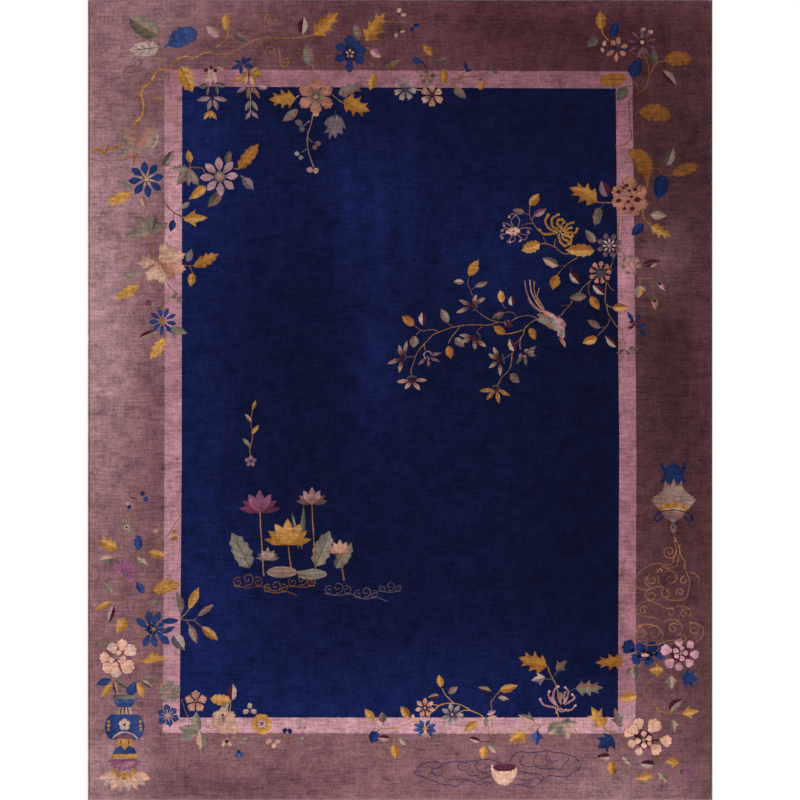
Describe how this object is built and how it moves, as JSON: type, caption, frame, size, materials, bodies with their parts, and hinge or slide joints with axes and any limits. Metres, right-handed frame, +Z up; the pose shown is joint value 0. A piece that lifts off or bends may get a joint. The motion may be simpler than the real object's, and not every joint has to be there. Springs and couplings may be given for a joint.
{
  "type": "chinese art deco rug",
  "caption": "Hand-knotted wool pile rug with a dark field, a pink band and a mauve border with flower sprays, lying flat, with overcast side cords and plain end webs.",
  "frame": {"origin": "on the floor, under the middle of the rug", "axes": "+X across the rug to the right, +Y along its length to the far end, +Z up out of the pile"},
  "size_m": [2.74, 3.513, 0.0145],
  "materials": {
    "pile_wool": "matt clipped wool pile with a soft velvet sheen, mottled dye",
    "selvedge_wool": "matt overcast wool yarn"
  },
  "bodies": {
    "root": {"knotted_rug": "pile_wool", "selvedge_left": "selvedge_wool", "selvedge_right": "selvedge_wool"}
  },
  "joints": []
}
